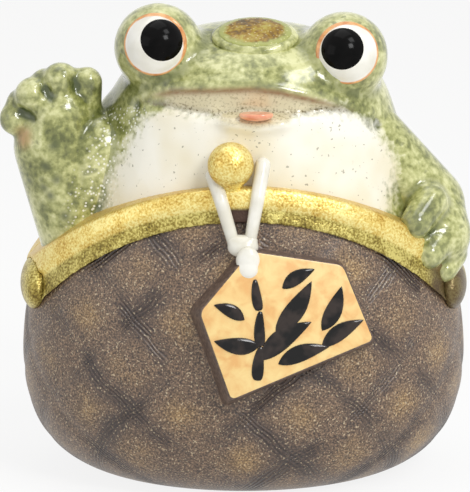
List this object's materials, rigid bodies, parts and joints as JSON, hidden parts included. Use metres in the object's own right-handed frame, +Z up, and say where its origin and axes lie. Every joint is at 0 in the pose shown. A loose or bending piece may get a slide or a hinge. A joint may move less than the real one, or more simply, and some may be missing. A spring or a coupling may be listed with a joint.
{
  "type": "frog figurine",
  "caption": "Glazed ceramic frog ornament sitting up out of a brown clasp purse, one hand raised, with a gold clasp and a corded plaque in relief.",
  "frame": {"origin": "middle of the flat foot, on the surface the ornament stands on", "axes": "+Z up, -Y is the way the frog looks, +X is the viewer's right from in front"},
  "size_m": [0.1095, 0.0888, 0.1142],
  "materials": {
    "frog_glaze": "glossy mottled green glaze",
    "purse_slip": "satin dark brown, dusted with gold brown",
    "eye_white": "glossy white",
    "pupil_black": "glossy black",
    "tongue_coral": "glossy coral",
    "amber_pool": "glossy amber, pooled",
    "clasp_gold": "gold paint, fine grain",
    "cord_white": "glossy white",
    "plaque_tan": "satin tan face, brown sides"
  },
  "bodies": {
    "root": {"purse_body": "purse_slip", "frog_body": "frog_glaze", "raised_arm": "frog_glaze", "resting_arm": "frog_glaze", "eyeball_left": "eye_white", "eyeball_right": "eye_white", "pupil_left": "pupil_black", "pupil_right": "pupil_black", "tongue": "tongue_coral", "crown_pad": "frog_glaze", "crown_glaze_pool": "amber_pool", "clasp_frame_front": "clasp_gold", "clasp_frame_rear": "clasp_gold", "clasp_hinge_left": "clasp_gold", "clasp_hinge_right": "clasp_gold", "clasp_ball": "clasp_gold", "tag_plaque": "plaque_tan", "relief_cord_left": "cord_white", "relief_cord_right": "cord_white", "relief_cord_knot": "cord_white", "relief_cord_loop": "cord_white"}
  },
  "joints": []
}
